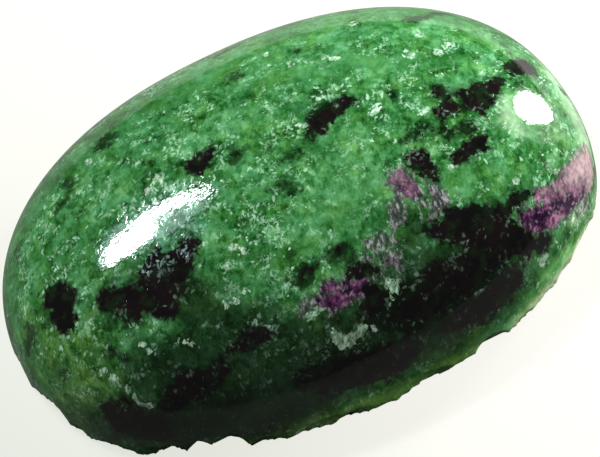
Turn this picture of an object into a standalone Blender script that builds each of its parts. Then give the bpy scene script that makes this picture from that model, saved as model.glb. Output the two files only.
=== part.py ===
"""A polished oval cabochon of ruby in zoisite, cut from one piece of stone.

The domed top is polished. The back is sawn flat, and its rim was left as it broke: flakes of
many sizes are missing all round, and the deepest are on the side that faces -X and -Y.

Frame: metres, +Z up. The origin is the centre of the flat back, +X runs along the oval and +Y
across it, and the stone rests on its back at z = 0.
"""

import math
import random

import bmesh
import bpy
from mathutils import Euler, Matrix, Vector, noise

MM = 0.001

# The stone's driving dimensions.
LENGTH = 25.0 * MM
WIDTH = 18.0 * MM
HEIGHT = 6.2 * MM
OUTLINE_POWER = 2.25  # 2 is an ellipse, and more is squarer
PROFILE_POWER = 2.5  # the same for the dome's profile: a steep wall under a broad crown

# How finely the dome is faceted.
RING_POINTS = 144
DOME_LEVELS = 15

# The larger flakes, each with its bearing from +X about +Z in degrees, its half width along the rim,
# its depth into the back and its rise up the wall, all in millimetres. Those with a bearing below 0
# are on the side that the photograph shows.
FLAKES = (
    (-175.0, 1.2, 0.12, 0.6),
    (-167.5, 1.3, 0.18, 0.8),
    (-157.0, 0.9, 0.10, 0.5),
    (-142.6, 0.8, 0.62, 0.9),
    (-137.2, 0.9, 0.98, 1.3),
    (-131.2, 1.0, 1.02, 1.2),
    (-121.0, 1.4, 0.30, 0.9),
    (-112.0, 1.7, 0.30, 1.0),
    (-104.0, 1.2, 0.30, 0.7),
    (-97.0, 0.9, 0.14, 0.5),
    (-80.0, 1.3, 0.26, 0.7),
    (-71.5, 1.2, 0.14, 0.6),
    (-62.5, 1.0, 0.32, 0.6),
    (-46.0, 1.0, 0.12, 0.6),
    (-30.0, 1.5, 0.14, 0.8),
    (20.0, 1.6, 0.34, 1.0),
    (57.0, 1.3, 0.28, 0.8),
    (101.0, 1.8, 0.40, 1.1),
    (148.0, 1.4, 0.30, 0.9),
)

# Smaller flakes all round the rim, evenly spread but for a random shift. Sizes are in millimetres.
SMALL_FLAKES = 64
SMALL_SHIFT = 0.4  # the most that one is shifted, as a share of their spacing
SMALL_BIAS = 1.6  # above 1, small sizes come more often than large ones
SMALL_HALF_WIDTH = (0.35, 1.0)
SMALL_DEPTH = (0.05, 0.17)
SMALL_RISE = (0.25, 0.80)
RANDOM_SEED = 17

# A flake's scar is part of a squashed ball that stands this many flake depths out from its deepest point.
BALL_REACH = 2.0
BALL_ROUGHNESS = 0.20  # how far noise shifts the ball's points, as a share of its size
BALL_NOISE = 1.6  # the noise's frequency, for a ball of radius 1
BALL_TILT = 14.0  # the most that a ball leans each way, in degrees
NOISE_SPREAD = 50.0  # how far apart the balls sample the noise, so that no two are alike
LARGE_FLAKE = 1.1  # a half width from which the ball is more finely faceted

STONE_GREEN = (0.055, 0.235, 0.085, 1.0)
POLISHED_ROUGHNESS = 0.15
SHARP_ANGLE = 30.0  # edges that bend by more than this many degrees look sharp


def signed_power(value, exponent):
    """A power that keeps the sign of its base."""
    return math.copysign(abs(value) ** exponent, value)


def outline_point(angle, scale=1.0):
    """A point of the oval outline, shrunk by scale, for an angle in radians."""
    exponent = 2.0 / OUTLINE_POWER
    return Vector(
        (
            scale * LENGTH / 2 * signed_power(math.cos(angle), exponent),
            scale * WIDTH / 2 * signed_power(math.sin(angle), exponent),
            0.0,
        )
    )


def outline_at_bearing(bearing):
    """The outline's point on a bearing in degrees, and the direction that faces out there."""
    across, along = math.sin(math.radians(bearing)), math.cos(math.radians(bearing))
    x_share, y_share = along / (LENGTH / 2), across / (WIDTH / 2)
    reach = (abs(x_share) ** OUTLINE_POWER + abs(y_share) ** OUTLINE_POWER) ** (-1 / OUTLINE_POWER)
    point = Vector((reach * along, reach * across, 0.0))
    outward = Vector(
        (
            signed_power(point.x / (LENGTH / 2), OUTLINE_POWER - 1) / (LENGTH / 2),
            signed_power(point.y / (WIDTH / 2), OUTLINE_POWER - 1) / (WIDTH / 2),
            0.0,
        )
    )
    return point, outward.normalized()


def dome_level(share):
    """How much of the outline is left at a level of the dome, and its height. 0 is the back, 1 the top."""
    turn = share * math.pi / 2
    exponent = 2.0 / PROFILE_POWER
    return math.cos(turn) ** exponent, HEIGHT * math.sin(turn) ** exponent


def stone_material():
    """Polished green stone."""
    material = bpy.data.materials.new("ruby_in_zoisite")
    material.use_nodes = True
    shader = material.node_tree.nodes["Principled BSDF"]
    shader.inputs["Base Color"].default_value = STONE_GREEN
    shader.inputs["Roughness"].default_value = POLISHED_ROUGHNESS
    shader.inputs["Metallic"].default_value = 0.0
    material.diffuse_color = STONE_GREEN
    return material


def new_object(name, mesh_source):
    """Turns a bmesh into an object in the scene."""
    mesh = bpy.data.meshes.new(name)
    mesh_source.to_mesh(mesh)
    mesh_source.free()
    made = bpy.data.objects.new(name, mesh)
    bpy.context.scene.collection.objects.link(made)
    return made


def make_blank():
    """The whole stone before its rim broke: an oval dome on a flat back."""
    shape = bmesh.new()
    angles = [2 * math.pi * i / RING_POINTS for i in range(RING_POINTS)]
    rings = []
    for level in range(DOME_LEVELS):
        scale, height = dome_level(level / DOME_LEVELS)
        lift = Vector((0.0, 0.0, height))
        rings.append([shape.verts.new(outline_point(angle, scale) + lift) for angle in angles])
    crown = shape.verts.new((0.0, 0.0, HEIGHT))
    for i in range(RING_POINTS):
        after = (i + 1) % RING_POINTS
        for lower, upper in zip(rings, rings[1:]):
            shape.faces.new((lower[i], lower[after], upper[after], upper[i]))
        shape.faces.new((rings[-1][i], rings[-1][after], crown))
    shape.faces.new(reversed(rings[0]))
    bmesh.ops.recalc_face_normals(shape, faces=shape.faces)
    return new_object("cabochon", shape)


def add_flake(shape, dice, bearing, half_width, depth, rise):
    """Adds one flake's squashed ball to the cutter. Its sizes are in millimetres."""
    edge, outward = outline_at_bearing(bearing)
    along = Vector((outward.y, -outward.x, 0.0))
    inset = (BALL_REACH - 1) / BALL_REACH
    stretch = 1 / math.sqrt(1 - inset**2)
    size = Vector((half_width * stretch, BALL_REACH * depth, rise * stretch)) * MM
    axes = Matrix((along, outward, (0.0, 0.0, 1.0))).transposed().to_4x4()
    lean = [math.radians(dice.uniform(-BALL_TILT, BALL_TILT)) for _ in range(3)]
    tilt = Euler(lean).to_matrix().to_4x4()
    centre = Matrix.Translation(edge + outward * (BALL_REACH - 1) * depth * MM)
    ball = bmesh.ops.create_icosphere(
        shape,
        subdivisions=3 if half_width >= LARGE_FLAKE else 2,
        radius=1.0,
    )["verts"]
    offset = Vector([dice.uniform(-NOISE_SPREAD, NOISE_SPREAD) for _ in range(3)])
    for vert in ball:
        vert.co += noise.noise_vector(vert.co * BALL_NOISE + offset) * BALL_ROUGHNESS
    bmesh.ops.transform(shape, verts=ball, matrix=centre @ axes @ tilt @ Matrix.Diagonal((*size, 1.0)))


def make_flake_cutter():
    """Every flake that is missing from the rim, as one cutter."""
    shape = bmesh.new()
    dice = random.Random(RANDOM_SEED)
    for flake in FLAKES:
        add_flake(shape, dice, *flake)
    spacing = 360.0 / SMALL_FLAKES
    for i in range(SMALL_FLAKES):
        bearing = (i + dice.uniform(-SMALL_SHIFT, SMALL_SHIFT)) * spacing
        share = dice.random() ** SMALL_BIAS
        sizes = [low + (high - low) * share for low, high in (SMALL_HALF_WIDTH, SMALL_DEPTH, SMALL_RISE)]
        add_flake(shape, dice, bearing, *sizes)
    cutter = new_object("flake_cutter", shape)
    cutter.hide_render = True
    cutter.display_type = "WIRE"
    return cutter


def make_cabochon():
    """The finished stone."""
    stone = make_blank()
    stone.data.materials.append(stone_material())
    flakes = stone.modifiers.new("missing flakes", "BOOLEAN")
    flakes.operation = "DIFFERENCE"
    flakes.solver = "EXACT"
    flakes.use_self = True
    flakes.object = make_flake_cutter()
    stone.data.shade_smooth()
    stone.data.set_sharp_from_angle(angle=math.radians(SHARP_ANGLE))
    return stone


def main():
    for leftover in list(bpy.data.objects):
        bpy.data.objects.remove(leftover, do_unlink=True)
    make_cabochon()


main()
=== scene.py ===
"""The looks of a polished oval cabochon of ruby in zoisite.

One piece stands for the whole stone. Its dome is smooth, its chipped rim and sawn back are rough, and
its minerals are painted as strokes, as are the painted shade, the painted haze, the painted glitter and
the painted light through the rim: each stroke is a line of points that are placed by a pixel of the
photograph, cast from the camera onto the stone, and given a radius in millimetres. The material turns
the distance to the strokes into ragged grains. Strokes for the sides that the photograph doesn't show
are drawn at random from a fixed seed.

Shapes are worked out in millimetres and scaled to metres when a mesh is made.
"""

import math
import random

import bpy
import numpy as np
from mathutils import Matrix, Vector, noise


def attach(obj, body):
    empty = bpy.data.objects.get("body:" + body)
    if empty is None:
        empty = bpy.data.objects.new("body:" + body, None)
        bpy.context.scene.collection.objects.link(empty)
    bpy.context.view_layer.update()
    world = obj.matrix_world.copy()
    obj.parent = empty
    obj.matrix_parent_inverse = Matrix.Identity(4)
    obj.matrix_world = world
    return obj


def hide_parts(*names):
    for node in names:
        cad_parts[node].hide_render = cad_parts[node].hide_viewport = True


MM = 0.001

# The stone, as its source gives it.
HALF_LENGTH = 12.5
HALF_WIDTH = 9.0
HEIGHT = 6.2
OUTLINE_POWER = 2.25
PROFILE_POWER = 2.5

# The camera, in degrees and millimetres.
PHOTO_WIDTH = 600
PHOTO_HEIGHT = 457
FOCAL_PIXELS = 4975.8
SENSOR_WIDTH = 36.0
CAMERA_AZIMUTH = -14.95
CAMERA_ELEVATION = 53.32
CAMERA_ROLL = -13.84
CAMERA_DISTANCE = 200.0
AIM_RIGHT = 0.087  # where the camera aims, from the middle of the stone
AIM_UP = -1.273
RAY_REACH = 20.0  # a pixel's ray is followed this far before and beyond the camera's distance
RAY_POINTS = 4001

# The stone's mesh.
WELD_WITHIN = 0.001
VOXEL = 0.112
SNAP = 0.035  # points this near the dome are put back on it
BROKEN_FROM = 0.03  # how deep under the dome a broken face starts
BROKEN_FULL = 0.07
SAWN_BELOW = 0.05  # points lower than this are on the sawn back

# Where the minerals are: strokes of (pixel x, pixel y, radius in mm). A radius below 0 leaves a faint trace.
HORNBLENDE = (
    # across the top, from left to right
    ((195, 167, 0.44), (202, 162, 0.40), (210, 151, 0.20)),
    ((319, 127, 0.30), (330, 114, 0.36), (341, 104, 0.32), (350, 99, 0.16)),
    ((415, 156, 0.28), (421, 163, 0.44), (428, 170, 0.40), (434, 178, 0.22)),
    ((439, 92, 0.24),),
    ((441, 112, 0.32), (451, 107, 0.38)),
    ((467, 97, 0.30), (476, 93, 0.34), (481, 105, 0.42)),
    ((490, 87, 0.30), (499, 80, 0.30)),
    ((460, 156, 0.34), (470, 149, 0.42), (484, 141, 0.26)),
    ((514, 70, 0.38), (524, 67, 0.48)),
    # the left end
    ((57, 299, 0.60), (64, 300, 0.60), (62, 309, 0.72), (67, 319, 0.50)),
    ((190, 243, 0.30), (178, 260, 0.62), (166, 284, 0.70), (166, 306, 0.50)),
    ((158, 258, 0.36), (150, 275, 0.44), (150, 295, 0.50)),
    ((109, 299, 0.40), (124, 302, 0.54), (150, 303, 0.50), (168, 303, 0.50)),
    # the lower side
    ((110, 410, 0.44), (125, 420, 0.78), (150, 428, 0.66), (163, 434, 0.36)),
    ((172, 401, 0.40), (190, 388, 0.62), (205, 378, 0.46), (222, 367, 0.26)),
    ((235, 350, 0.22), (248, 342, 0.38), (262, 331, 0.26)),
    ((305, 380, 0.30), (328, 378, 0.66), (358, 372, 0.86), (388, 362, 0.80), (412, 348, 0.50)),
    # the middle
    ((302, 276, 0.06), (309, 270, 0.10)),
    ((340, 250, 0.12),),
    ((352, 274, 0.20), (363, 269, 0.26), (376, 270, 0.20)),
    ((372, 292, 0.30), (374, 304, 0.38), (366, 310, 0.26)),
    # the right end
    ((440, 230, 0.44), (460, 229, 0.74), (485, 231, 0.88), (505, 236, 0.80), (522, 242, 0.50)),
    ((450, 218, 0.36), (476, 213, 0.36), (502, 212, 0.36)),
    ((528, 246, 0.40), (545, 241, 0.30)),
    ((512, 204, 0.30), (520, 197, 0.32), (528, 193, 0.22)),
    ((510, 280, 0.60), (496, 296, 0.66), (478, 312, 0.56), (455, 322, 0.40)),
    ((490, 258, 0.50), (468, 266, 0.50), (440, 272, 0.44), (425, 275, 0.26)),
    ((398, 318, 0.34), (420, 306, 0.50), (446, 292, 0.60), (470, 282, 0.40)),
)
DARK_ZOISITE = (
    # grains in the green
    ((67, 184, 0.32), (72, 190, 0.28)),
    ((60, 205, 0.22), (66, 200, 0.22)),
    ((104, 141, 0.42),),
    ((30, 332, 0.40), (28, 350, 0.30)),
    ((148, 163, 0.20), (143, 180, 0.20), (142, 192, 0.14)),
    ((113, 354, 0.28), (124, 359, 0.26)),
    ((229, 81, 0.22), (240, 76, 0.24)),
    ((298, 51, 0.30),),
    ((240, 44, 0.22), (216, 56, 0.20)),
    ((235, 156, 0.34),),
    ((214, 143, 0.22),),
    ((393, 94, 0.26),),
    ((411, 19, 0.26), (424, 17, 0.26), (442, 13, 0.18)),
    ((566, 95, 0.28),),
    ((470, 126, 0.34), (450, 134, 0.34)),
    ((424, 128, 0.24), (405, 140, 0.22)),
    ((300, 152, 0.26), (285, 160, 0.20)),
    ((443, 113, 0.36), (460, 107, 0.50), (478, 100, 0.50), (494, 88, 0.36)),
    ((285, 185, 0.46), (288, 190, 0.42)),
    ((296, 281, 0.40), (304, 276, 0.52), (312, 268, 0.34)),
    ((331, 258, 0.36), (341, 251, 0.46), (348, 258, 0.30)),
    ((311, 138, 0.30), (317, 124, 0.52), (327, 108, 0.46)),
    ((430, 188, 0.28), (440, 206, 0.30)),
    ((350, 290, 0.10), (362, 282, 0.10)),
    # the dark side, between the black grains
    ((375, 318, 0.70), (420, 305, 1.20), (455, 292, 1.20), (490, 275, 0.90)),
    ((420, 325, 0.60), (460, 315, 0.60)),
)
# Broad zones in which the green is darker. They are partly darker zoisite and partly painted shade, above
# all the broad ones along the lower side, which faces away from the lamps.
SHADE = (
    ((118, 300, 0.70), (165, 285, 1.00), (215, 318, 0.90), (280, 335, 1.00)),
    ((150, 372, 1.10), (210, 372, 1.80), (270, 372, 2.00), (330, 355, 1.70)),
    ((335, 330, 1.00), (390, 312, 1.70), (430, 285, 1.70), (470, 262, 1.50), (512, 252, 1.00)),
    ((120, 424, 1.00), (180, 420, 1.50), (260, 412, 1.50), (320, 385, 1.20)),
    ((400, 350, 1.10), (450, 325, 1.00), (500, 290, 0.90)),
    ((425, 128, 0.05), (455, 132, 0.10), (482, 125, 0.05)),
    ((445, 95, 0.10), (482, 98, 0.15)),
    ((440, 45, -0.55), (485, 58, -0.45), (515, 85, -0.50)),
    ((290, 100, -0.35), (305, 112, -0.40)),
    ((403, 220, 0.35), (416, 226, 0.60), (430, 230, 0.65), (438, 206, 0.10)),
    ((416, 226, 0.60), (412, 246, 0.50)),
    ((90, 350, -0.35), (100, 338, -0.40)),
    ((174, 236, 0.00), (190, 224, -0.20)),
)
# Where it is yellower: at the lower left end, and along the bottom rim, where the yellow belongs to the
# painted light through the rim.
OLIVE = (
    ((40, 330, 0.90), (75, 355, 1.30), (95, 392, 1.20), (70, 400, 1.00)),
    ((190, 445, 0.80), (260, 445, 0.80), (330, 420, 0.70), (400, 395, 0.60), (470, 345, 0.70)),
)
# Where it is paler and calmer.
LIGHT = (
    ((230, 70, 1.0), (300, 40, 1.2), (380, 22, 1.1), (450, 30, 0.9), (500, 48, 0.5)),
    ((330, 150, 0.9), (365, 195, 1.3), (350, 235, 0.9)),
    ((455, 180, 0.5), (495, 180, 0.5)),
)
# Where its grain is finer and more even.
CALM = (
    ((8, 280, 0.2), (14, 240, 0.6), (40, 195, 0.7), (75, 158, 0.7), (110, 128, 0.7), (160, 100, 0.8)),
    ((160, 100, 0.8), (210, 70, 1.1), (260, 40, 1.2), (320, 20, 1.3), (400, 12, 1.3), (470, 22, 1.0)),
    ((470, 22, 1.0), (520, 40, 0.7)),
    ((250, 88, 0.30), (350, 62, 0.45), (450, 58, 0.40)),
    ((8, 280, 0.20), (14, 325, 0.35), (40, 378, 0.40), (80, 418, 0.40)),
    ((120, 428, 0.50), (200, 418, 0.80), (300, 402, 0.80), (360, 384, 0.70)),
    ((360, 384, 0.70), (430, 345, 0.60), (500, 292, 0.50)),
    ((545, 60, 0.30), (575, 100, 0.40), (592, 145, 0.45), (597, 190, 0.45), (590, 225, 0.50)),
    ((590, 225, 0.60), (560, 270, 0.95), (520, 315, 0.85), (460, 358, 0.55)),
    ((460, 358, 0.55), (380, 400, 0.50), (310, 425, 0.35)),
)
# Painted glitter: the polish beside the streak of highlight, painted with more pale crystals, a bluish
# painted sheen and brighter glints in the hornblende.
PAINTED_GLITTER = (
    ((100, 258, 0.20), (120, 228, 0.50), (160, 205, 0.90), (205, 188, 0.60)),
    ((140, 255, 0.40), (170, 240, 0.60), (190, 225, 0.50)),
    ((150, 268, 0.40), (182, 252, 0.40)),
)
# Painted haze: painted glare over the polish at the upper right and beside the round highlight, and painted
# light through the thin rim on the right.
PAINTED_HAZE = (
    ((532, 52, 0.15), (558, 84, 0.55), (575, 112, 0.75), (586, 142, 0.70)),
    ((505, 100, 0.10), (509, 120, 0.20), (520, 134, 0.00)),
    ((556, 150, -0.25), (548, 170, -0.25)),
    ((572, 220, 0.10), (584, 208, 0.20)),
    ((597, 165, 0.30), (599, 190, 0.35), (594, 208, 0.20)),
    ((590, 224, 0.00), (578, 248, 0.10), (560, 276, 0.12), (538, 300, 0.00), (515, 322, -0.20)),
)
# Painted light through the thin rim, which makes the colour much lighter there. The faint strokes at the
# lower left are painted light on the wall at that end.
PAINTED_RIM_LIGHT = (
    ((590, 225, 0.50), (572, 258, 0.75), (548, 285, 0.78), (528, 308, 0.55), (505, 330, 0.25)),
    ((480, 348, 0.15), (440, 372, 0.38), (400, 395, 0.46)),
    ((400, 395, 0.46), (350, 414, 0.60), (300, 431, 0.50), (240, 447, 0.25)),
    ((14, 300, -0.15), (20, 340, -0.20), (40, 374, -0.10), (62, 398, -0.08), (84, 418, -0.12)),
)
RUBY = (
    ((398, 178, 0.34), (406, 184, 0.44), (415, 191, 0.26)),
    ((382, 264, 0.14), (389, 262, 0.14)),
    ((322, 303, 0.14), (335, 302, 0.30), (348, 294, 0.40), (359, 286, 0.38)),
    ((325, 290, 0.20), (345, 282, 0.20)),
    ((531, 223, 0.44), (542, 217, 0.58), (553, 212, 0.52), (565, 205, 0.44)),
    ((540, 198, 0.28), (556, 193, 0.44), (568, 184, 0.50), (579, 170, 0.46), (588, 157, 0.40)),
    ((572, 200, 0.34), (583, 186, 0.42), (591, 172, 0.40)),
)
# Where the ruby is thin and pale.
PINK = (
    ((542, 192, -0.28), (562, 184, -0.20), (575, 174, 0.20), (586, 162, 0.60), (592, 155, 0.70)),
    ((592, 180, 0.60),),
    ((398, 174, -0.20), (410, 184, -0.28)),
)
# Where grey and lilac grains lie beside the ruby.
RUBY_HALO = (
    ((424, 178, 0.16), (432, 188, 0.30), (440, 202, 0.34), (434, 213, 0.26)),
    ((418, 196, 0.24), (424, 204, 0.20)),
    ((388, 178, 0.14), (390, 188, 0.12)),
    ((398, 202, 0.24), (397, 216, 0.22), (394, 230, 0.16)),
    ((374, 243, 0.26), (384, 238, 0.32), (392, 243, 0.14)),
    ((362, 260, 0.10), (378, 257, 0.16), (396, 258, 0.20), (400, 266, 0.14)),
    ((360, 279, 0.10), (372, 279, 0.13), (385, 271, 0.12)),
    ((303, 309, 0.26), (318, 300, 0.28)),
    ((519, 214, 0.22), (525, 206, 0.20)),
    ((579, 212, 0.20), (588, 200, 0.24)),
)
PALE_GRAINS = (
    ((83, 165, 0.14), (91, 160, 0.10)),
    ((150, 190, 0.14), (156, 178, 0.16), (168, 189, 0.14)),
    ((231, 245, 0.07), (241, 251, 0.09)),
    ((226, 303, 0.11), (236, 302, 0.11)),
    ((333, 334, 0.10), (342, 345, 0.22), (355, 337, 0.24), (365, 328, 0.14)),
    ((373, 329, 0.10),),
    ((388, 284, 0.20), (394, 286, 0.24), (393, 292, 0.12)),
    ((391, 303, 0.07),),
    ((350, 26, 0.10), (356, 23, 0.12)),
    ((448, 44, 0.16), (437, 52, 0.12)),
    ((404, 50, 0.12), (410, 55, 0.12)),
    ((418, 35, 0.14),),
    ((325, 60, 0.12), (339, 58, 0.14)),
    ((104, 372, 0.17), (116, 378, 0.10)),
    ((143, 345, 0.09), (152, 354, 0.06)),
    ((129, 390, 0.09), (138, 402, 0.07), (149, 407, 0.07)),
    ((478, 294, 0.10), (488, 290, 0.13), (496, 284, 0.08)),
    ((512, 182, 0.07), (519, 181, 0.08)),
    ((361, 145, 0.13),),
    ((318, 97, 0.10),),
    ((294, 122, 0.09), (305, 126, 0.10)),
    ((453, 166, 0.12),),
    ((245, 291, 0.12),),
    ((227, 265, 0.13),),
    ((268, 54, 0.10),),
    ((291, 64, 0.11),),
    ((386, 85, 0.12),),
    ((373, 112, 0.07), (378, 104, 0.08)),
    ((420, 113, 0.11), (428, 110, 0.07)),
    ((543, 260, 0.22),),
    ((66, 335, 0.12),),
    ((82, 391, 0.13),),
    ((45, 198, 0.10),),
    ((268, 327, 0.14), (256, 323, 0.10)),
    ((180, 342, 0.05), (212, 346, 0.04)),
    ((310, 315, 0.14), (322, 309, 0.12)),
)

# The attributes of the mesh that hold the depth inside the strokes.
PHOTO_STROKES = {
    "hornblende": HORNBLENDE,
    "dark": DARK_ZOISITE,
    "shade": SHADE,
    "olive": OLIVE,
    "light": LIGHT,
    "calm": CALM,
    "painted_glitter": PAINTED_GLITTER,
    "painted_haze": PAINTED_HAZE,
    "glow": PAINTED_RIM_LIGHT,
    "ruby": RUBY,
    "pink": PINK,
    "halo": RUBY_HALO,
    "pale": PALE_GRAINS,
}
DEPTH_FAR_OUT = -5.0  # the depth of places that are further out than any stroke reaches
TINY = 1e-9  # keeps the length of a one-point stroke above 0

# Strokes for the sides that the photograph doesn't show, drawn at random.
HIDDEN_SEED = 5
HIDDEN_KINDS = {
    # how many, smallest and largest radius in mm
    "hornblende": (34, 0.25, 0.80),
    "ruby": (7, 0.25, 0.60),
    "pale": (60, 0.07, 0.20),
    "dark": (26, 0.25, 1.00),
}
HIDDEN_FACING = -0.12  # how far the wall faces away from the camera there: -1 is straight away
HIDDEN_ON_BACK = 0.55  # the share of the strokes that start on the back
BACK_REACH = 0.9  # how near the rim they start there: 1 is the rim, by the dome's formula
WALL_BEARINGS = (-20.0, 200.0)  # where the others start along the wall, in degrees from +X
WALL_TURNS = (0.02, 0.30)  # and how far up it: 0 is the back, 0.5 the top
HIDDEN_POINTS = (1, 3)  # the fewest and most points of a stroke
HIDDEN_THICKNESS = (0.6, 1.0)  # the least and most radius at a point, as a share of the stroke's
HIDDEN_STRIDE = 1.5  # how far its points stand apart, in radii
HIDDEN_BEND = 0.8  # how much its heading changes at each point

SEED_SLANT = 1.7  # a seed shifts noise by this along Y, for each 1 along X and -1 along Z

# The relief of the rough faces, in millimetres.
RIPPLES = ((0.030, 0.45, 3.0), (0.018, 0.18, 8.0))  # height, size and seed of the broken faces' noise
SAW_HEIGHT = 0.006
SAW_DEPTH = 0.008  # how deep in the back the middle of a saw mark lies
SAW_TURNS = 9.0  # how closely the saw marks follow each other, in radians per millimetre
SAW_BEND = 1.5  # how far noise bends them, in radians
SAW_BEND_SIZE = 3.0
SAW_BEND_SEED = 5.0

# How a zone of the stone follows from the strokes: the attribute with the depth inside them, how far wide
# noise, narrow noise and angular cells shift that depth, and the depths where the zone starts and is full.
ZONES = {
    "hornblende": ("hornblende", 0.70, 0.44, 0.26, -0.17, 0.09),
    "stained": ("hornblende", 0.90, 0.60, 0.30, -0.38, 0.05),
    "dark": ("dark", 0.80, 0.60, 0.20, -0.20, 0.20),
    "shade": ("shade", 1.60, 0.80, 0.20, -1.00, 0.70),
    "olive": ("olive", 1.60, 0.80, 0.00, -1.00, 0.60),
    "glow": ("glow", 0.70, 0.50, 0.00, -0.35, 0.25),
    "ruby": ("ruby", 0.60, 0.40, 0.20, -0.10, 0.10),
    "faint_ruby": ("ruby", 0.60, 0.60, 0.10, -0.34, 0.34),
    "ruby_rim": ("ruby", 0.60, 0.60, 0.20, -0.26, -0.02),
    "pink": ("pink", 0.80, 0.60, 0.30, -0.80, 0.45),
    "halo": ("halo", 0.70, 0.70, 0.20, -0.16, 0.14),
    "pale": ("pale", 0.30, 0.30, 0.26, -0.04, 0.03),
    "light": ("light", 1.20, 0.60, 0.10, -0.90, 0.60),
    "painted_haze": ("painted_haze", 0.50, 0.40, 0.10, -0.60, 0.40),
    "calm": ("calm", 0.80, 0.30, 0.00, -0.60, 0.40),
    "painted_glitter": ("painted_glitter", 0.60, 0.40, 0.20, -0.40, 0.30),
}
LIGHT_CALMS = 0.45  # how calm the stone is where it is light
NOISE_MIDDLE = 0.5  # noise and random numbers lie around it

# The fine pale crystals: turn about each axis in degrees, size in mm, and the share of places with one.
FLECKS = (
    ((0, 0, 26), (0.15, 0.46, 0.28), 0.020),
    ((0, 0, 58), (0.14, 0.36, 0.28), 0.015),
    ((0, 0, -8), (0.13, 0.34, 0.26), 0.015),
    ((20, 30, 110), (0.18, 0.25, 0.22), 0.020),
)
FLECK_FADE = 0.02  # how gradually they become more common
FLECK_EDGE = (0.48, 0.18)  # how far from its middle a crystal starts and is full
FLECK_RAGGED = 0.60  # how far noise shifts its edge
FLECK_DIMMEST = 0.25
FLECK_CONTRAST = 1.5  # above 1, dim crystals are more common than bright ones
CLUSTER_CROWDING = 0.26  # how much more common they are in a cluster
# Zones make the crystals more or less common. The extra ones of the painted glitter are painted glints.
ZONE_CROWDING = {"light": -0.08, "stained": 0.07, "halo": 0.12, "painted_glitter": 0.24}
CALM_HIDES_FLECKS = 0.75
CALM_HIDES_WISPS = 0.80

# The soft pale fibres: turn about each axis in degrees and size in mm.
WISPS = (
    ((0, 0, 26), (0.17, 0.36, 0.24)),
    ((15, 0, 72), (0.16, 0.30, 0.22)),
)
WISP_EDGE = (0.060, 0.012)  # how far from the middle of its noise a fibre starts and is full
WISPS_IN_CLUSTER = 0.70  # how strong they are in a cluster, on top of what they are elsewhere
WISPS_ELSEWHERE = 0.08

# How the zoisite's tone and the ruby's follow from noise of several kinds.
TONE_BASE = 0.335
CLOUD_WEIGHT = 0.36
RUBY_CLOUD_WEIGHT = 0.70
RUBY_FIBRE_WEIGHT = 0.50

# Colours. A ramp's stops are (position, colour), and a tint multiplies the colour under it.
GREENS = (
    (0.400, (0.006, 0.056, 0.007)),
    (0.455, (0.017, 0.125, 0.021)),
    (0.505, (0.034, 0.186, 0.043)),
    (0.565, (0.066, 0.272, 0.084)),
    (0.660, (0.140, 0.415, 0.175)),
)
YELLOW_TINT = (1.08, 0.98, 0.72)
BLUE_TINT = (0.94, 1.00, 1.12)
ZONE_TINTS = {
    "olive": (1.12, 0.85, 0.54),
    "light": (1.34, 1.16, 1.30),
    # a bluish painted sheen
    "painted_glitter": (0.90, 0.95, 1.40),
    # painted glare, and painted light through the thin rim
    "painted_haze": (1.90, 1.50, 1.70),
    "stained": (0.35, 0.42, 0.38),
    "dark": (0.15, 0.21, 0.14),
    # partly darker zoisite, partly painted shade
    "shade": (0.20, 0.22, 0.20),
    # painted light through the thin rim
    "glow": (3.40, 2.40, 2.60),
}
WISP_COLOUR = (0.30, 0.60, 0.35)
FLECK_COLOUR = (0.43, 0.77, 0.51)
# the pale crystals' colour under the painted shade, a shaded copy of theirs
SHADED_FLECK_COLOUR = (0.20, 0.36, 0.25)
# the paleness of the painted haze
PAINTED_HAZE_COLOUR = (0.66, 0.86, 0.62)
LILACS = ((0.40, (0.016, 0.032, 0.021)), (0.52, (0.095, 0.095, 0.100)), (0.66, (0.50, 0.47, 0.50)))
MINTS = ((0.36, (0.10, 0.24, 0.14)), (0.48, (0.38, 0.62, 0.42)), (0.62, (0.66, 0.90, 0.70)))
REDS = (
    (0.49, (0.015, 0.002, 0.020)),
    (0.59, (0.050, 0.010, 0.050)),
    (0.68, (0.150, 0.046, 0.125)),
    (0.79, (0.420, 0.200, 0.310)),
)
PINK_COLOUR = (0.62, 0.45, 0.46)
RUBY_FLECK_COLOUR = (0.72, 0.54, 0.66)
BLACKS = ((0.40, (0.0020, 0.0016, 0.0020)), (0.62, (0.0080, 0.0030, 0.0042)))
GREENISH_BLACK = (0.006, 0.016, 0.005)
GLINT_COLOUR = (0.22, 0.34, 0.26)
# the hornblende's glints where there is painted glitter
PAINTED_GLITTER_COLOUR = (0.34, 0.52, 0.48)
PLAIN_COLOUR = (0.055, 0.235, 0.085, 1.0)

# How strongly some of the colours cover what is under them.
STAIN_COVER = 0.65
# how strongly the painted haze covers the colour
PAINTED_HAZE_COVER = 0.38
SHADED_FLECK_COVER = 0.55
HALO_COVER = 0.85
RUBY_FLECK_COVER = 0.40
PALE_COVER = (0.55, 1.00)  # the least and most, in patches
PINK_COVER = (0.52, 0.92)  # the least and most, in veins
PLAIN_GLINTS = 0.60  # how strong the glints in the hornblende are where there is no painted glitter

# The polish.
POLISH = 0.02  # roughness where the polish is best
POLISH_LOSS = 0.05  # and how much more it is where it is worst
BROKEN_ROUGHNESS = 0.42  # and on the rough faces
STONE_IOR = 1.58
BUMP_HEIGHT = 0.0035  # of the unevenness of the polish, in millimetres
FINE_BUMP = 0.35  # the finer unevenness, as a share of the broader
HORNBLENDE_BUMP = -0.50  # how far the hornblende stands out, in bump heights
CRYSTAL_BUMP = 0.80  # and the pale crystals
HORNBLENDE_EDGE = (-0.1, 0.1)  # the depth in its strokes where that starts and is full

# Where the lamps stand, seen from the middle of the stone: azimuth from +X and elevation, in degrees.
BACK = (108.0, 53.0)
RIGHT = (17.2, 11.4)
FRONT_RIGHT = (-14.0, 16.0)
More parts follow.
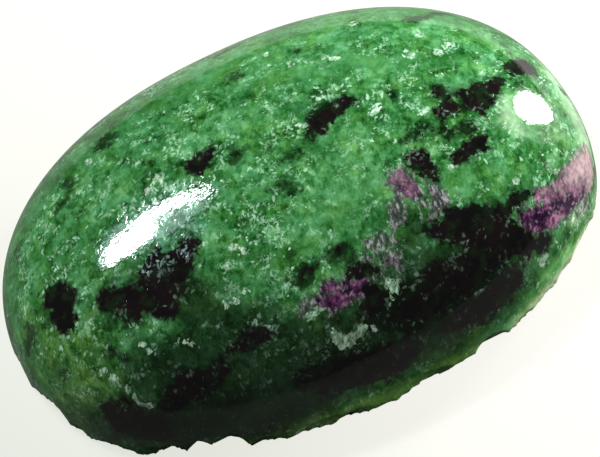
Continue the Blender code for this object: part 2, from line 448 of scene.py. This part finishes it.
# Each faces the stone from a distance, moved aside and up, and rolled. The soft ones aren't mirrored in
# the polish. The others each have a distance of their own, because two in one plane would hide each other.
LAMPS = {
    # name: direction, distance, (aside, up), roll, (width, height), power, colour
    "wide_lamp": (BACK, 300.0, (31.0, -10.0), -22.0, (88.0, 22.0), 0.40, (1.0, 1.0, 0.98)),
    "narrow_lamp": (BACK, 304.0, (-26.0, 0.0), -22.0, (86.0, 8.0), 0.11, (0.95, 1.0, 1.0)),
    "haze_lamp": (BACK, 308.0, (12.0, -5.0), -22.0, (150.0, 44.0), 0.060, (0.70, 0.95, 1.0)),
    "round_lamp": (RIGHT, 79.0, (2.0, 1.0), 0.0, (19.0, 33.0), 0.065, (1.0, 1.0, 0.97)),
    "round_haze_lamp": (RIGHT, 83.0, (-3.0, 1.0), 0.0, (36.0, 52.0), 0.008, (0.95, 1.0, 0.85)),
    "soft_back_lamp": (BACK, 300.0, (0.0, 0.0), 0.0, (120.0, 80.0), 0.33, (1.0, 1.0, 0.98)),
    "soft_side_lamp": (FRONT_RIGHT, 160.0, (0.0, 0.0), 0.0, (80.0, 50.0), 0.16, (1.0, 1.0, 0.94)),
}

# The studio. Its brightness in the polish and as a light is lower than what the camera sees.
WORLD_COLOUR = (1.0, 1.0, 0.97, 1.0)
WORLD_SEEN = 1.00
WORLD_LIGHT = 0.08
FLOOR_HALF = 300.0
FLOOR_COLOUR = (0.12, 0.12, 0.115, 1.0)
FLOOR_ROUGHNESS = 0.9
FLOOR_SEEN = 0.88
FLOOR_LIGHT = 0.02
FLOOR_BRIGHT = (1.04, 1.02, 0.96)
# the floor's colour in its painted shade
PAINTED_FLOOR_SHADE = (0.72, 0.77, 0.69)
FLOOR_SLANT = (-0.8, -0.3)  # it grows dimmer along this direction of X and Y, as painted shade where the shadow from the lamps on the right would fall
FLOOR_DIMS = (-5.0, 20.0)  # from here to here, in mm
# Where it also lights the stone: how strongly, and from where to where it brightens along X and Y.
FLOOR_BEHIND = (0.38, (-24.0, 6.0), (-2.0, 26.0))
FLOOR_BESIDE = (0.60, (8.0, 30.0), (-14.0, 10.0))


def view_axes():
    """The camera's place and its right, up and backward directions, in millimetres."""
    azimuth, elevation, roll = map(math.radians, (CAMERA_AZIMUTH, CAMERA_ELEVATION, CAMERA_ROLL))
    back = Vector(
        (
            math.sin(azimuth) * math.cos(elevation),
            -math.cos(azimuth) * math.cos(elevation),
            math.sin(elevation),
        )
    )
    level = Vector((math.cos(azimuth), math.sin(azimuth), 0.0))
    raised = back.cross(level)
    right = math.cos(roll) * level + math.sin(roll) * raised
    up = math.cos(roll) * raised - math.sin(roll) * level
    aim = Vector((0.0, 0.0, HEIGHT / 2)) + AIM_RIGHT * level + AIM_UP * raised
    return aim + CAMERA_DISTANCE * back, right, up, back


def dome_share(points):
    """The dome's formula: 1 on the dome, less inside it and more outside."""
    x, y, z = np.abs(points / (HALF_LENGTH, HALF_WIDTH, HEIGHT)).T
    return (x**OUTLINE_POWER + y**OUTLINE_POWER) ** (PROFILE_POWER / OUTLINE_POWER) + z**PROFILE_POWER


def dome_slope(points):
    """The gradient of the dome's formula, which faces straight out of it."""
    step = 0.001
    slope = np.zeros_like(points)
    for axis in range(3):
        shift = np.zeros(3)
        shift[axis] = step
        slope[:, axis] = (dome_share(points + shift) - dome_share(points - shift)) / (2 * step)
    return slope


def on_stone(pixel_x, pixel_y):
    """The point of the stone that a pixel of the photograph shows."""
    eye, right, up, back = view_axes()
    across = (pixel_x - PHOTO_WIDTH / 2) / FOCAL_PIXELS
    down = (pixel_y - PHOTO_HEIGHT / 2) / FOCAL_PIXELS
    ray = (across * right - down * up - back).normalized()
    reach = np.linspace(CAMERA_DISTANCE - RAY_REACH, CAMERA_DISTANCE + RAY_REACH, RAY_POINTS)
    points = np.array(eye) + reach[:, None] * np.array(ray)
    share = np.where(points[:, 2] >= 0, dome_share(points), np.inf)
    inside = np.flatnonzero(share <= 1)
    return points[inside[0] if len(inside) else np.argmin(share)]


def photo_strokes(strokes):
    """Strokes given by pixels, as lists of (point, radius)."""
    return [[(on_stone(x, y), radius) for x, y, radius in stroke] for stroke in strokes]


def hidden_point(dice):
    """A random point of the back or of the wall that faces away from the camera."""
    if dice.random() < HIDDEN_ON_BACK:
        while True:
            point = np.array([dice.uniform(-1, 1) * HALF_LENGTH, dice.uniform(-1, 1) * HALF_WIDTH, 0.0])
            if dome_share(point[None])[0] < BACK_REACH:
                return point
    while True:
        angle = math.radians(dice.uniform(*WALL_BEARINGS))
        turn = dice.uniform(*WALL_TURNS) * math.pi
        level = math.cos(turn) ** (2 / PROFILE_POWER)
        across, along = math.sin(angle), math.cos(angle)
        point = np.array(
            [
                level * HALF_LENGTH * math.copysign(abs(along) ** (2 / OUTLINE_POWER), along),
                level * HALF_WIDTH * math.copysign(abs(across) ** (2 / OUTLINE_POWER), across),
                HEIGHT * math.sin(turn) ** (2 / PROFILE_POWER),
            ]
        )
        outward = dome_slope(point[None])[0]
        if outward @ np.array(view_axes()[3]) < HIDDEN_FACING * np.linalg.norm(outward):
            return point


def hidden_strokes(dice, count, smallest, largest):
    """Random strokes for the hidden sides, short and slightly bent. Small ones are more common."""
    strokes = []
    for _ in range(count):
        radius = smallest + (largest - smallest) * dice.random() ** 2
        point = hidden_point(dice)
        heading = np.array([dice.gauss(0, 1) for _ in range(3)])
        stroke = []
        for _ in range(dice.randint(*HIDDEN_POINTS)):
            stroke.append((point, radius * dice.uniform(*HIDDEN_THICKNESS)))
            heading = heading + HIDDEN_BEND * np.array([dice.gauss(0, 1) for _ in range(3)])
            point = point + HIDDEN_STRIDE * radius * heading / np.linalg.norm(heading)
        strokes.append(stroke)
    return strokes


def depth_in(strokes, points):
    """How far each point lies inside the nearest stroke, in millimetres. It is below 0 outside."""
    deepest = np.full(len(points), DEPTH_FAR_OUT)
    for stroke in strokes:
        for (start, start_radius), (end, end_radius) in zip(stroke, stroke[1:] or stroke):
            along = end - start
            share = np.clip((points - start) @ along / max(along @ along, TINY), 0, 1)
            nearest = start + share[:, None] * along
            radius = start_radius + (end_radius - start_radius) * share
            deepest = np.maximum(deepest, radius - np.linalg.norm(points - nearest, axis=1))
    return deepest


def smooth_step(values, low, high):
    """0 below low, 1 above high and a smooth change between them."""
    share = np.clip((values - low) / (high - low), 0, 1)
    return share * share * (3 - 2 * share)


def noise_at(points, size, seed):
    """Noise from -1 to 1 with features of a size in millimetres."""
    shift = Vector((seed, seed * SEED_SLANT, -seed))
    return np.array([noise.noise(Vector(point) / size + shift) for point in points])


def remeshed(source):
    """The source mesh as an even net of small quads, in millimetres."""
    mesh = source.copy()
    mesh.transform(Matrix.Scale(1 / MM, 4))
    holder = bpy.data.objects.new("remesh_source", mesh)
    bpy.context.scene.collection.objects.link(holder)
    weld = holder.modifiers.new("join split edges", "WELD")
    weld.merge_threshold = WELD_WITHIN
    remesh = holder.modifiers.new("even net", "REMESH")
    remesh.mode = "VOXEL"
    remesh.voxel_size = VOXEL
    remesh.adaptivity = 0.0
    graph = bpy.context.evaluated_depsgraph_get()
    even = bpy.data.meshes.new_from_object(holder.evaluated_get(graph))
    bpy.data.objects.remove(holder, do_unlink=True)
    return even


def vectors_of(mesh, kind):
    """The points ("co") or the point normals ("normal") of a mesh, as an array."""
    values = np.empty(len(mesh.vertices) * 3)
    mesh.vertices.foreach_get(kind, values)
    return values.reshape(-1, 3)


def store(mesh, name, values):
    """Keeps one number per point for the material to read."""
    attribute = mesh.attributes.new(name, "FLOAT", "POINT")
    attribute.data.foreach_set("value", np.ascontiguousarray(values, dtype=np.float32))


def relief_on(points, broken, sawn):
    """How far the rough faces stand out, from the points, the broken share and which are sawn."""
    rough = np.flatnonzero(broken > 0)
    places = points[rough]
    ripple = sum(height * noise_at(places, size, seed) for height, size, seed in RIPPLES)
    bend = SAW_BEND * noise_at(places, SAW_BEND_SIZE, SAW_BEND_SEED)
    saw_marks = SAW_HEIGHT * np.sin(places[:, 1] * SAW_TURNS + bend)
    relief = np.zeros(len(points))
    relief[rough] = np.where(sawn[rough], saw_marks - SAW_DEPTH, ripple * broken[rough])
    return relief


def make_stone(frame):
    """The whole stone, with its rough faces in relief, and its minerals, painted shade and painted light
    marked.
    """
    mesh = remeshed(frame["nodes"]["cabochon"].data)
    mesh.name = "stone"
    points = vectors_of(mesh, "co")

    slope = dome_slope(points)
    steepness = np.linalg.norm(slope, axis=1)
    depth = (1 - dome_share(points)) / steepness
    on_dome = (np.abs(depth) < SNAP) & (points[:, 2] > SAWN_BELOW)
    outward = slope / steepness[:, None]
    points[on_dome] += (depth[:, None] * outward)[on_dome]
    depth[on_dome] = 0.0

    sawn = points[:, 2] < SAWN_BELOW
    broken = smooth_step(depth, BROKEN_FROM, BROKEN_FULL)
    broken[sawn] = 1.0

    mesh.vertices.foreach_set("co", points.ravel())
    mesh.update()
    points += relief_on(points, broken, sawn)[:, None] * vectors_of(mesh, "normal")
    points[:, 2] = np.maximum(points[:, 2], 0.0)
    mesh.vertices.foreach_set("co", points.ravel())

    dice = random.Random(HIDDEN_SEED)
    hidden = {kind: hidden_strokes(dice, *sizes) for kind, sizes in HIDDEN_KINDS.items()}
    for name, strokes in PHOTO_STROKES.items():
        store(mesh, name, depth_in(photo_strokes(strokes) + hidden.get(name, []), points))
    store(mesh, "broken", broken)

    mesh.transform(Matrix.Scale(MM, 4))
    mesh.shade_smooth()
    mesh.materials.clear()
    mesh.materials.append(stone_material())
    stone = bpy.data.objects.new("polished_stone", mesh)
    bpy.context.scene.collection.objects.link(stone)
    return stone


class Nodes:
    """Short forms for building the nodes of a material or of the world."""

    def __init__(self, owner):
        owner.use_nodes = True
        self.tree = owner.node_tree

    def feed(self, socket, value):
        """Links a socket or sets its value."""
        if isinstance(value, bpy.types.NodeSocket):
            self.tree.links.new(value, socket)
        else:
            socket.default_value = value

    def add(self, kind, inputs=(), **settings):
        """A new node. Inputs are (name or index, value or socket) pairs."""
        node = self.tree.nodes.new("ShaderNode" + kind)
        for name, value in settings.items():
            setattr(node, name, value)
        for name, value in inputs:
            self.feed(node.inputs[name], value)
        return node

    def math(self, operation, first, second=0.0, third=0.0):
        """A sum, product or the like of numbers."""
        node = self.add("Math", ((0, first), (1, second), (2, third)), operation=operation)
        return node.outputs[0]

    def product(self, first, second):
        """The product of two numbers."""
        return self.math("MULTIPLY", first, second)

    def centred(self, value):
        """A random number around 0.5, brought to around 0."""
        return self.math("SUBTRACT", value, NOISE_MIDDLE)

    def faded(self, value, zone, share):
        """The value, lowered by up to a share of it where the zone is full."""
        return self.product(value, self.math("MULTIPLY_ADD", zone, -share, 1.0))

    def step(self, value, low, high, top=1.0):
        """0 below low, top above high and a smooth change between them."""
        inputs = (("Value", value), ("From Min", low), ("From Max", high), ("To Min", 0.0), ("To Max", top))
        return self.add("MapRange", inputs, interpolation_type="SMOOTHSTEP").outputs[0]

    def between(self, value, low, high, ends):
        """The first end below low, the last above high and a smooth change between them."""
        least, most = ends
        return self.math("ADD", self.step(value, low, high, most - least), least)

    def noise(self, place, size, detail=2.0, roughness=0.5):
        """Noise around 0.5 with features of a size in millimetres."""
        inputs = (("Vector", place), ("Scale", 1 / size), ("Detail", detail), ("Roughness", roughness))
        return self.add("TexNoise", inputs).outputs["Fac"]

    def cells(self, place):
        """Crystal cells of size 1: two random numbers for each, and how far the place is from its middle."""
        cells = self.add("TexVoronoi", (("Vector", place), ("Scale", 1.0)))
        chance = self.add("SeparateColor", ((0, cells.outputs["Color"]),))
        return chance.outputs[0], chance.outputs[1], cells.outputs["Distance"]

    def shifted(self, place, size, amount):
        """The place, shifted by up to an amount each way by noise with features of a size."""
        shift = self.add("TexNoise", (("Vector", place), ("Scale", 1 / size), ("Detail", 2.0)))
        inputs = ((0, shift.outputs["Color"]), (1, (2 * amount,) * 3), (2, place))
        return self.add("VectorMath", inputs, operation="MULTIPLY_ADD").outputs[0]

    def stretched(self, place, turn, stretch):
        """The place, turned by degrees about each axis and then divided by a stretch along each."""
        turned = self.add("Mapping", (("Vector", place), ("Rotation", tuple(map(math.radians, turn)))))
        scale = tuple(1 / length for length in stretch)
        return self.add("Mapping", (("Vector", turned.outputs[0]), ("Scale", scale))).outputs[0]

    def fibrous(self, place, turn, stretch, detail=3.0, roughness=0.6):
        """Noise around 0.5 with long features: their size in mm along each axis, turned by degrees."""
        return self.noise(self.stretched(place, turn, stretch), 1.0, detail, roughness)

    def ramp(self, value, stops):
        """A colour ramp through (position, colour) stops."""
        node = self.add("ValToRGB", (("Fac", value),))
        elements = node.color_ramp.elements
        while len(elements) < len(stops):
            elements.new(0.5)
        for element, (position, colour) in zip(elements, stops):
            element.position = position
            element.color = (*colour, 1.0)
        return node.outputs["Color"]

    def blend(self, share, first, second, blend_type="MIX"):
        """Two colours mixed."""
        first, second = ((*c, 1.0) if isinstance(c, tuple) else c for c in (first, second))
        inputs = ((0, share), (6, first), (7, second))
        return self.add("Mix", inputs, data_type="RGBA", blend_type=blend_type).outputs[2]

    def tinted(self, colour, share, tint):
        """The colour, multiplied by a tint where the share is 1."""
        return self.blend(share, colour, self.blend(1.0, colour, tint, "MULTIPLY"))

    def attribute(self, name):
        """A number kept on the mesh's points."""
        return self.add("Attribute", attribute_name=name).outputs["Fac"]


def stone_zones(nodes, place):
    """How fully each place is in each zone, from 0 to 1, and the fine noise of the zones' edges."""
    wander = nodes.centred(nodes.noise(place, size=0.75, roughness=0.55))
    ragged = nodes.centred(nodes.noise(place, size=0.17, detail=3.0, roughness=0.6))
    bent = nodes.shifted(place, size=0.25, amount=0.06)
    blocky = nodes.centred(nodes.cells(nodes.stretched(bent, (15, 25, 35), (0.20, 0.28, 0.24)))[0])
    zones = {}
    for zone, (name, wide, narrow, angular, low, high) in ZONES.items():
        depth = nodes.math("MULTIPLY_ADD", wander, wide, nodes.attribute(name))
        depth = nodes.math("MULTIPLY_ADD", ragged, narrow, depth)
        depth = nodes.math("MULTIPLY_ADD", blocky, angular, depth)
        zones[zone] = nodes.step(depth, low, high)
    zones["halo"] = nodes.math("MAXIMUM", zones["halo"], zones["ruby_rim"])
    zones["calm"] = nodes.math("MAXIMUM", zones["calm"], nodes.product(zones["light"], LIGHT_CALMS))
    return zones, ragged


def zoisite_colour(nodes, place, calm):
    """Green zoisite, clouded and grained, and less so where it is calm."""
    bent = nodes.shifted(place, size=0.2, amount=0.12)
    cloud = nodes.noise(place, size=1.4, detail=3.0, roughness=0.6)
    tone = nodes.math("MULTIPLY_ADD", cloud, CLOUD_WEIGHT, TONE_BASE)
    for unevenness, weight, lost in (
        # what it is, how much it changes the tone, and the share of it that is lost where it is calm
        (nodes.noise(place, size=0.42, detail=3.0, roughness=0.6), 0.32, 0.5),
        (nodes.fibrous(place, (0, 0, 26), (0.13, 0.30, 0.20), roughness=0.65), 0.22, 0.8),
        (nodes.cells(nodes.stretched(bent, (0, 0, 26), (0.26, 0.46, 0.36)))[0], 0.095, 0.6),
        (nodes.cells(nodes.stretched(bent, (40, 0, -20), (0.14, 0.24, 0.20)))[0], 0.045, 0.6),
    ):
        change = nodes.faded(nodes.centred(unevenness), calm, lost)
        tone = nodes.math("MULTIPLY_ADD", change, weight, tone)
    green = nodes.ramp(tone, GREENS)
    hue = nodes.noise(place, size=1.0)
    green = nodes.tinted(green, nodes.step(hue, low=0.52, high=0.36), YELLOW_TINT)
    return nodes.tinted(green, nodes.step(hue, low=0.52, high=0.68), BLUE_TINT)


def flecks(nodes, place, crowding, ragged):
    """How much of a fine pale crystal there is of each kind. Crowding makes them more common."""
    bent = nodes.shifted(place, size=0.25, amount=0.13)
    kinds = []
    for turn, size, share in FLECKS:
        chance, strength, spread = nodes.cells(nodes.stretched(bent, turn, size))
        rarity = 1.0 - share
        chance = nodes.step(nodes.math("ADD", chance, crowding), rarity, rarity + FLECK_FADE)
        shape = nodes.step(nodes.math("MULTIPLY_ADD", ragged, FLECK_RAGGED, spread), *FLECK_EDGE)
        strength = nodes.math("POWER", strength, FLECK_CONTRAST)
        bright = nodes.math("MULTIPLY_ADD", strength, 1.0 - FLECK_DIMMEST, FLECK_DIMMEST)
        kinds.append(nodes.product(nodes.product(chance, shape), bright))
    return kinds


def wisps(nodes, place):
    """How much of a soft pale fibre there is."""
    total = 0.0
    for turn, size in WISPS:
        field = nodes.centred(nodes.fibrous(place, turn, size, detail=1.0, roughness=0.5))
        ridge = nodes.step(nodes.math("ABSOLUTE", field), *WISP_EDGE)
        total = nodes.math("MAXIMUM", total, ridge)
    return nodes.product(total, nodes.step(nodes.noise(place, size=0.28), low=0.46, high=0.60))


def fine_cover(nodes, place, zones, ragged):
    """How much there is of the fine pale crystals, of the soft fibres, and of the first kind of crystal."""
    cluster = nodes.step(nodes.noise(place, size=0.80, detail=3.0, roughness=0.65), low=0.46, high=0.60)
    crowding = nodes.product(cluster, CLUSTER_CROWDING)
    for zone, extra in ZONE_CROWDING.items():
        crowding = nodes.math("MULTIPLY_ADD", zones[zone], extra, crowding)
    kinds = flecks(nodes, place, crowding, ragged)
    crystals = 0.0
    for kind in kinds:
        crystals = nodes.math("MAXIMUM", crystals, kind)
    crystals = nodes.faded(crystals, zones["calm"], CALM_HIDES_FLECKS)
    strength = nodes.math("MULTIPLY_ADD", cluster, WISPS_IN_CLUSTER, WISPS_ELSEWHERE)
    fibres = nodes.product(wisps(nodes, place), strength)
    return crystals, nodes.faded(fibres, zones["calm"], CALM_HIDES_WISPS), kinds[0]


def ruby_colour(nodes, place, pink, crystals):
    """Ruby: purple, finely fibrous, with pink glints, and paler where it is thin."""
    fibres = nodes.product(nodes.fibrous(place, (0, 0, 35), (0.13, 0.26, 0.20)), RUBY_FIBRE_WEIGHT)
    tone = nodes.math("MULTIPLY_ADD", nodes.noise(place, size=0.55), RUBY_CLOUD_WEIGHT, fibres)
    veins = nodes.fibrous(place, (0, 0, 35), (0.16, 0.40, 0.24), roughness=0.65)
    milky = nodes.product(pink, nodes.between(veins, 0.38, 0.60, PINK_COVER))
    red = nodes.blend(milky, nodes.ramp(tone, REDS), PINK_COLOUR)
    return nodes.blend(nodes.product(crystals, RUBY_FLECK_COVER), red, RUBY_FLECK_COLOUR)


def hornblende_colour(nodes, place, painted_glitter, crystals):
    """Hornblende: black, with a green or brown cast and grey glints, which are brighter and bluer as painted
    glitter.
    """
    black = nodes.ramp(nodes.noise(place, size=0.9, detail=3.0, roughness=0.6), BLACKS)
    greenish = nodes.step(nodes.noise(place, size=0.60, detail=3.0, roughness=0.6), low=0.48, high=0.68)
    black = nodes.blend(greenish, black, GREENISH_BLACK)
    patches = nodes.step(nodes.noise(place, size=0.9), low=0.46, high=0.62, top=PLAIN_GLINTS)
    glints = nodes.product(crystals, nodes.math("MAXIMUM", painted_glitter, patches))
    return nodes.blend(glints, black, nodes.blend(painted_glitter, GLINT_COLOUR, PAINTED_GLITTER_COLOUR))


def stone_colour(nodes, place, zones, crystals, fibres):
    """The colours of all the minerals, each over those before it, with painted shade, haze, glitter and
    light through the rim among them.
    """
    colour = zoisite_colour(nodes, place, zones["calm"])
    # Yellower and paler zoisite, then the bluish painted sheen of the painted glitter.
    for zone in ("olive", "light", "painted_glitter"):
        colour = nodes.tinted(colour, zones[zone], ZONE_TINTS[zone])
    colour = nodes.blend(fibres, colour, WISP_COLOUR)
    colour = nodes.blend(crystals, colour, FLECK_COLOUR)
    # Painted haze: painted glare, and painted light through the thin rim.
    colour = nodes.tinted(colour, zones["painted_haze"], ZONE_TINTS["painted_haze"])
    colour = nodes.blend(nodes.product(zones["painted_haze"], PAINTED_HAZE_COVER), colour, PAINTED_HAZE_COLOUR)
    colour = nodes.tinted(colour, nodes.product(zones["stained"], STAIN_COVER), ZONE_TINTS["stained"])
    # Darker zoisite, then the partly painted shade, then the painted light through the thin rim.
    for zone in ("dark", "shade", "glow"):
        colour = nodes.tinted(colour, zones[zone], ZONE_TINTS[zone])
    # Crystals under the painted shade keep a dim, shaded copy of their colour.
    kept = nodes.product(crystals, nodes.product(zones["shade"], SHADED_FLECK_COVER))
    colour = nodes.blend(kept, colour, SHADED_FLECK_COLOUR)

    lilac = nodes.ramp(nodes.fibrous(place, (0, 0, 15), (0.14, 0.34, 0.20)), LILACS)
    colour = nodes.blend(nodes.product(zones["halo"], HALO_COVER), colour, lilac)
    mint = nodes.ramp(nodes.fibrous(place, (0, 0, 48), (0.10, 0.24, 0.16), detail=2.0), MINTS)
    clear = nodes.between(nodes.noise(place, size=0.35), 0.40, 0.60, PALE_COVER)
    colour = nodes.blend(nodes.product(zones["pale"], clear), colour, mint)

    softer = nodes.math("SUBTRACT", zones["faint_ruby"], zones["ruby"])
    ruby = nodes.math("MULTIPLY_ADD", softer, zones["pink"], zones["ruby"])
    colour = nodes.blend(ruby, colour, ruby_colour(nodes, place, zones["pink"], crystals))
    black = hornblende_colour(nodes, place, zones["painted_glitter"], crystals)
    return nodes.blend(zones["hornblende"], colour, black)


def stone_material():
    """Polished ruby in zoisite."""
    material = bpy.data.materials.new("ruby_in_zoisite_looks")
    nodes = Nodes(material)
    shader = nodes.tree.nodes["Principled BSDF"]
    place = nodes.add("TexCoord").outputs["Object"]
    place = nodes.add("Mapping", (("Vector", place), ("Scale", (1 / MM,) * 3))).outputs[0]

    zones, ragged = stone_zones(nodes, place)
    crystals, fibres, first_crystals = fine_cover(nodes, place, zones, ragged)
    nodes.feed(shader.inputs["Base Color"], stone_colour(nodes, place, zones, crystals, fibres))

    dull = nodes.step(nodes.noise(place, size=0.30), low=0.35, high=0.75, top=POLISH_LOSS)
    roughness = nodes.math("ADD", dull, POLISH)
    roughness = nodes.math("MULTIPLY_ADD", nodes.attribute("broken"), BROKEN_ROUGHNESS, roughness)
    nodes.feed(shader.inputs["Roughness"], roughness)
    shader.inputs["IOR"].default_value = STONE_IOR

    fine = nodes.noise(place, size=0.13, detail=1.0)
    height = nodes.math("MULTIPLY_ADD", fine, FINE_BUMP, nodes.noise(place, size=0.32))
    hornblende = nodes.step(nodes.attribute("hornblende"), *HORNBLENDE_EDGE)
    height = nodes.math("MULTIPLY_ADD", hornblende, HORNBLENDE_BUMP, height)
    height = nodes.math("MULTIPLY_ADD", first_crystals, CRYSTAL_BUMP, height)
    bump = nodes.add("Bump", (("Strength", 1.0), ("Distance", BUMP_HEIGHT * MM), ("Height", height)))
    nodes.feed(shader.inputs["Normal"], bump.outputs[0])
    material.diffuse_color = PLAIN_COLOUR
    return material


def make_camera():
    """The camera at the photograph's viewing angle."""
    eye, right, up, back = view_axes()
    data = bpy.data.cameras.new("camera")
    data.sensor_width = SENSOR_WIDTH
    data.lens = FOCAL_PIXELS * SENSOR_WIDTH / PHOTO_WIDTH
    data.clip_start = 0.01
    data.clip_end = 10.0
    camera = bpy.data.objects.new("camera", data)
    turn = Matrix((right, up, back)).transposed().to_4x4()
    camera.matrix_world = Matrix.Translation(eye * MM) @ turn
    bpy.context.scene.collection.objects.link(camera)
    bpy.context.scene.camera = camera


def make_lamp(name, direction, distance, shift, roll, size, power, colour):
    """A lamp that faces the stone. Angles are in degrees, sizes in millimetres and power in watts."""
    soft = name.startswith("soft")
    turn, tilt = map(math.radians, direction)
    toward = Vector((math.cos(turn) * math.cos(tilt), math.sin(turn) * math.cos(tilt), math.sin(tilt)))
    level = Vector((-math.sin(turn), math.cos(turn), 0.0))
    raised = toward.cross(level)
    data = bpy.data.lights.new(name, "AREA")
    data.shape = "RECTANGLE" if soft else "ELLIPSE"
    data.size = size[0] * MM
    data.size_y = size[1] * MM
    data.energy = power
    data.color = colour
    lamp = bpy.data.objects.new(name, data)
    axes = Matrix((level, raised, toward)).transposed().to_4x4()
    rolled = Matrix.Rotation(math.radians(roll), 4, "Z")
    place = Vector((0.0, 0.0, HEIGHT / 2)) + distance * toward + shift[0] * level + shift[1] * raised
    lamp.matrix_world = Matrix.Translation(place * MM) @ axes @ rolled
    lamp.visible_camera = False
    lamp.visible_glossy = not soft
    bpy.context.scene.collection.objects.link(lamp)


def make_world():
    """A pale studio that is bright to look at and gives a weaker, even light."""
    world = bpy.data.worlds.new("studio")
    bpy.context.scene.world = world
    nodes = Nodes(world)
    background = nodes.tree.nodes["Background"]
    seen = nodes.add("LightPath").outputs["Is Camera Ray"]
    nodes.feed(background.inputs["Color"], WORLD_COLOUR)
    strength = nodes.math("MULTIPLY_ADD", seen, WORLD_SEEN - WORLD_LIGHT, WORLD_LIGHT)
    nodes.feed(background.inputs["Strength"], strength)


def make_floor():
    """A plain pale floor, which lights the stone from behind and from beside it."""
    half = FLOOR_HALF * MM
    mesh = bpy.data.meshes.new("floor")
    corners = [(-half, -half, 0.0), (half, -half, 0.0), (half, half, 0.0), (-half, half, 0.0)]
    mesh.from_pydata(corners, [], [(0, 1, 2, 3)])
    floor = bpy.data.objects.new("floor", mesh)
    bpy.context.scene.collection.objects.link(floor)

    material = bpy.data.materials.new("pale_floor")
    nodes = Nodes(material)
    shader = nodes.tree.nodes["Principled BSDF"]
    shader.inputs["Base Color"].default_value = FLOOR_COLOUR
    shader.inputs["Roughness"].default_value = FLOOR_ROUGHNESS
    seen = nodes.add("LightPath").outputs["Is Camera Ray"]
    x, y, _ = nodes.add("SeparateXYZ", ((0, nodes.add("TexCoord").outputs["Object"]),)).outputs

    # Painted shade on the floor: dimmer towards -X and -Y, where the shadow from the lamps on the right
    # would fall.
    slant = nodes.math("MULTIPLY_ADD", y, FLOOR_SLANT[1], nodes.product(x, FLOOR_SLANT[0]))
    dimmer = nodes.step(slant, *(end * MM for end in FLOOR_DIMS))
    nodes.feed(shader.inputs["Emission Color"], nodes.blend(dimmer, FLOOR_BRIGHT, PAINTED_FLOOR_SHADE))

    glow = 0.0
    for strength, x_ends, y_ends in (FLOOR_BEHIND, FLOOR_BESIDE):
        across = nodes.step(x, *(end * MM for end in x_ends))
        along = nodes.step(y, *(end * MM for end in y_ends))
        glow = nodes.math("MAXIMUM", glow, nodes.product(nodes.product(across, along), strength))
    unseen = nodes.product(nodes.math("ADD", glow, FLOOR_LIGHT), nodes.math("SUBTRACT", 1.0, seen))
    nodes.feed(shader.inputs["Emission Strength"], nodes.math("MULTIPLY_ADD", seen, FLOOR_SEEN, unseen))
    mesh.materials.append(material)


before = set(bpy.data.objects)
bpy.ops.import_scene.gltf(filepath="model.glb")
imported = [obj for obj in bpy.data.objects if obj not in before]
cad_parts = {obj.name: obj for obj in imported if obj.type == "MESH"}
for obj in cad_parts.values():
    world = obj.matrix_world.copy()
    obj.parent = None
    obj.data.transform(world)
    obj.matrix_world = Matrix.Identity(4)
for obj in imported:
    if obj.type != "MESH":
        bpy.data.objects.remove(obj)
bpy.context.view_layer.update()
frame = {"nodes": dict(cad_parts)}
stone = make_stone(frame)
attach(stone, "root")
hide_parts("cabochon")
make_camera()
for lamp_name, lamp_facts in LAMPS.items():
    make_lamp(lamp_name, *lamp_facts)
make_world()
make_floor()
bpy.context.scene.view_settings.view_transform = "Standard"
